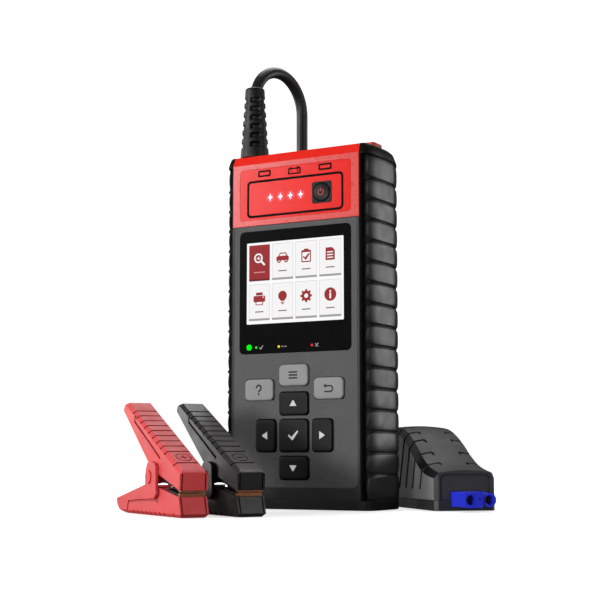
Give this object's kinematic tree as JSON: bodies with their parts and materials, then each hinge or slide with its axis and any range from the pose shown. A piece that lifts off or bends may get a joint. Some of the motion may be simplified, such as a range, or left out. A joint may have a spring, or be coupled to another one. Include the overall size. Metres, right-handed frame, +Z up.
{
  "type": "battery tester",
  "caption": "Hand-held battery tester with colour screen, keypad, ribbed side grips and fixed diagnostic lead, with spring battery clamps and a plug-in jump-lead control module.",
  "frame": {"origin": "centre of the handset's foot, on the floor", "axes": "+Z up along the handset, -Y out of the screen, +X to the right as seen facing the screen"},
  "size_m": [0.2369, 0.31, 0.2722],
  "materials": {
    "grey_case": "fine satin",
    "grey_fascia": "fine diagonal hatch",
    "red_cover": "satin gloss",
    "red_label": "smooth film",
    "black_case": "fine grain",
    "grip": "soft matte",
    "foot": "soft matte",
    "cover_glass": "dark gloss",
    "lcd": "smooth",
    "green_lamp": "clear lens",
    "white_lamp": "clear lens",
    "dark_gloss": "satin gloss",
    "grey_key": "soft matte",
    "dark_key": "soft matte",
    "silicone": "matte",
    "board": "coated",
    "cell": "film",
    "copper": "bare copper",
    "brass": "bare",
    "red_flap": "soft matte",
    "steel": "plain",
    "lead": "smooth jacket",
    "red_clamp": "fine grain",
    "black_clamp": "fine grain",
    "module_base": "fine grain",
    "module_cover": "fine grain",
    "blue_plug": "moulded"
  },
  "bodies": {
    "tester": {"front_shell": "grey_case", "keypad_fascia": "grey_fascia", "red_cover": "red_cover", "label_plate": "red_label", "rear_shell": "black_case", "left_bumper": "grip", "right_bumper": "grip", "base_foot": "foot", "screen_lens": "cover_glass", "lcd_panel": "lcd", "status_led": "green_lamp", "indicator_leds": "white_lamp", "power_bezel": "dark_gloss", "keypad_mat": "silicone", "main_board": "board", "battery_cells": "cell", "cell_holder": "black_case", "bus_bars": "copper", "jump_socket": "black_case", "socket_contacts": "brass", "port_cover_pin": "steel", "case_screws": "steel", "lead_boot": "lead", "obd_lead": "lead", "obd_coil": "lead", "obd_tail": "lead", "lead_tie": "lead", "obd_plug": "black_case", "obd_plug_pins": "brass"},
    "help_key": {"help_key": "grey_key"},
    "menu_key": {"menu_key": "grey_key"},
    "back_key": {"back_key": "grey_key"},
    "up_key": {"up_key": "dark_key"},
    "down_key": {"down_key": "dark_key"},
    "left_key": {"left_key": "dark_key"},
    "right_key": {"right_key": "dark_key"},
    "ok_key": {"ok_key": "dark_key"},
    "power_button": {"power_button": "dark_gloss"},
    "port_cover": {"port_cover": "red_flap"},
    "red_clamp": {"red_clamp_base": "red_clamp", "red_clamp_lower_jaw": "copper", "red_clamp_pin": "steel", "red_clamp_spring": "steel"},
    "red_clamp_lever": {"red_clamp_lever": "red_clamp", "red_clamp_upper_jaw": "copper"},
    "black_clamp": {"black_clamp_base": "black_clamp", "black_clamp_lower_jaw": "copper", "black_clamp_pin": "steel", "black_clamp_spring": "steel"},
    "black_clamp_lever": {"black_clamp_lever": "black_clamp", "black_clamp_upper_jaw": "copper"},
    "jump_module": {"module_base": "module_base", "module_cover": "module_cover", "module_plug": "blue_plug", "module_contacts": "brass", "module_board": "board", "module_relay": "black_case", "module_screws": "steel", "module_inlets": "lead"}
  },
  "joints": [
    {"name": "help_key_press", "type": "slide", "parent": "tester", "child": "help_key", "axis": [0, 1, 0], "range_m": [0, 0.001], "stiffness_N_per_m": 1200},
    {"name": "menu_key_press", "type": "slide", "parent": "tester", "child": "menu_key", "axis": [0, 1, 0], "range_m": [0, 0.001], "stiffness_N_per_m": 1200},
    {"name": "back_key_press", "type": "slide", "parent": "tester", "child": "back_key", "axis": [0, 1, 0], "range_m": [0, 0.001], "stiffness_N_per_m": 1200},
    {"name": "up_key_press", "type": "slide", "parent": "tester", "child": "up_key", "axis": [0, 1, 0], "range_m": [0, 0.001], "stiffness_N_per_m": 1200},
    {"name": "down_key_press", "type": "slide", "parent": "tester", "child": "down_key", "axis": [0, 1, 0], "range_m": [0, 0.001], "stiffness_N_per_m": 1200},
    {"name": "left_key_press", "type": "slide", "parent": "tester", "child": "left_key", "axis": [0, 1, 0], "range_m": [0, 0.001], "stiffness_N_per_m": 1200},
    {"name": "right_key_press", "type": "slide", "parent": "tester", "child": "right_key", "axis": [0, 1, 0], "range_m": [0, 0.001], "stiffness_N_per_m": 1200},
    {"name": "ok_key_press", "type": "slide", "parent": "tester", "child": "ok_key", "axis": [0, 1, 0], "range_m": [0, 0.001], "stiffness_N_per_m": 1200},
    {"name": "power_press", "type": "slide", "parent": "tester", "child": "power_button", "axis": [0, 1, 0], "range_m": [0, 0.0008], "stiffness_N_per_m": 1500},
    {"name": "port_cover_hinge", "type": "hinge", "parent": "tester", "child": "port_cover", "pos_m": [0.0275, 0.0146, 0.213], "axis": [-1, 0, 0], "range_deg": [0, 110]},
    {"name": "red_clamp_lift", "type": "slide", "parent": "tester", "child": "red_clamp", "axis": [0, 0, 1], "range_m": [0, 0.15]},
    {"name": "red_clamp_squeeze", "type": "hinge", "parent": "red_clamp", "child": "red_clamp_lever", "pos_m": [-0.02137, -0.11998, 0.0198], "axis": [-0.5446, -0.8387, 0], "range_deg": [0, 32], "stiffness_Nm_per_rad": 1.2, "springref_deg": -28.65},
    {"name": "black_clamp_lift", "type": "slide", "parent": "tester", "child": "black_clamp", "axis": [0, 0, 1], "range_m": [0, 0.15]},
    {"name": "black_clamp_squeeze", "type": "hinge", "parent": "black_clamp", "child": "black_clamp_lever", "pos_m": [-0.00157, -0.09788, 0.0198], "axis": [-0.5446, -0.8387, 0], "range_deg": [0, 32], "stiffness_Nm_per_rad": 1.2, "springref_deg": -28.65},
    {"name": "module_lift", "type": "slide", "parent": "tester", "child": "jump_module", "axis": [0, 0, 1], "range_m": [0, 0.12]}
  ]
}
